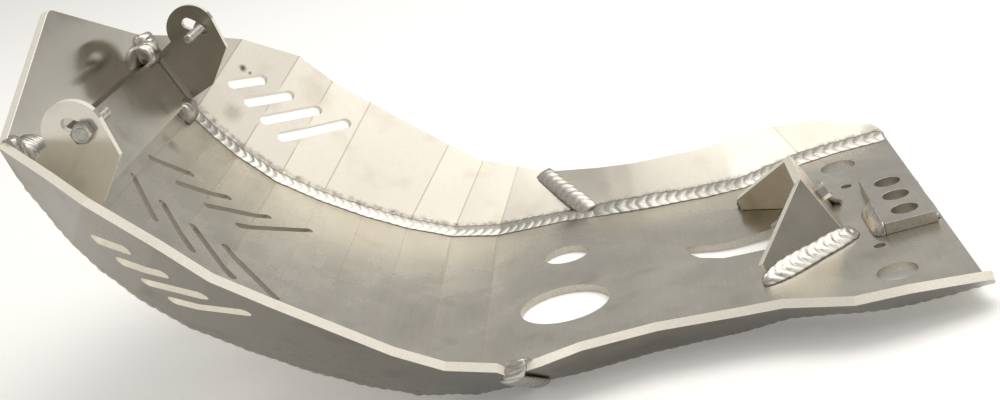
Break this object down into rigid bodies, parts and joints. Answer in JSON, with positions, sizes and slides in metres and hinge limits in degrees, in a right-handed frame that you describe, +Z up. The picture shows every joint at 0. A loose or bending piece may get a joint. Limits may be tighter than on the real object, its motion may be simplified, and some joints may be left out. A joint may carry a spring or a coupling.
{
  "type": "motorcycle skid plate",
  "caption": "Bare aluminium motorcycle skid plate, bent up at the front, with welded side wings, slots and brackets.",
  "frame": {"origin": "centre of the bounding box, on the underside of the flat middle section", "axes": "+X to the rear of the bike, +Y to its right side, +Z up"},
  "size_m": [0.4858, 0.3912, 0.2376],
  "materials": {
    "plate_aluminium": "satin",
    "wing_aluminium": "satin",
    "weld_aluminium": "satin",
    "zinc_steel": "satin"
  },
  "bodies": {
    "root": {"main_plate": "plate_aluminium", "nose_plate": "plate_aluminium", "front_bracket": "plate_aluminium", "front_wing_left": "wing_aluminium", "front_wing_right": "wing_aluminium", "rear_wing_left": "wing_aluminium", "rear_wing_right": "wing_aluminium", "rear_bracket": "plate_aluminium", "rear_block": "plate_aluminium", "tab_bolt_left": "zinc_steel", "tab_bolt_right": "zinc_steel", "bracket_bolt": "zinc_steel", "front_seam_weld_left": "weld_aluminium", "front_seam_weld_right": "weld_aluminium", "rear_seam_weld_left": "weld_aluminium", "rear_seam_weld_right": "weld_aluminium", "front_edge_weld_left": "weld_aluminium", "front_edge_weld_right": "weld_aluminium", "rear_edge_weld_left": "weld_aluminium", "rear_edge_weld_right": "weld_aluminium", "joint_weld_left": "weld_aluminium", "joint_weld_right": "weld_aluminium", "nose_weld_left": "weld_aluminium", "nose_weld_right": "weld_aluminium", "tab_weld_left": "weld_aluminium", "tab_weld_right": "weld_aluminium", "flange_weld_left": "weld_aluminium", "flange_weld_right": "weld_aluminium", "block_front_weld": "weld_aluminium", "block_rear_weld": "weld_aluminium"}
  },
  "joints": []
}
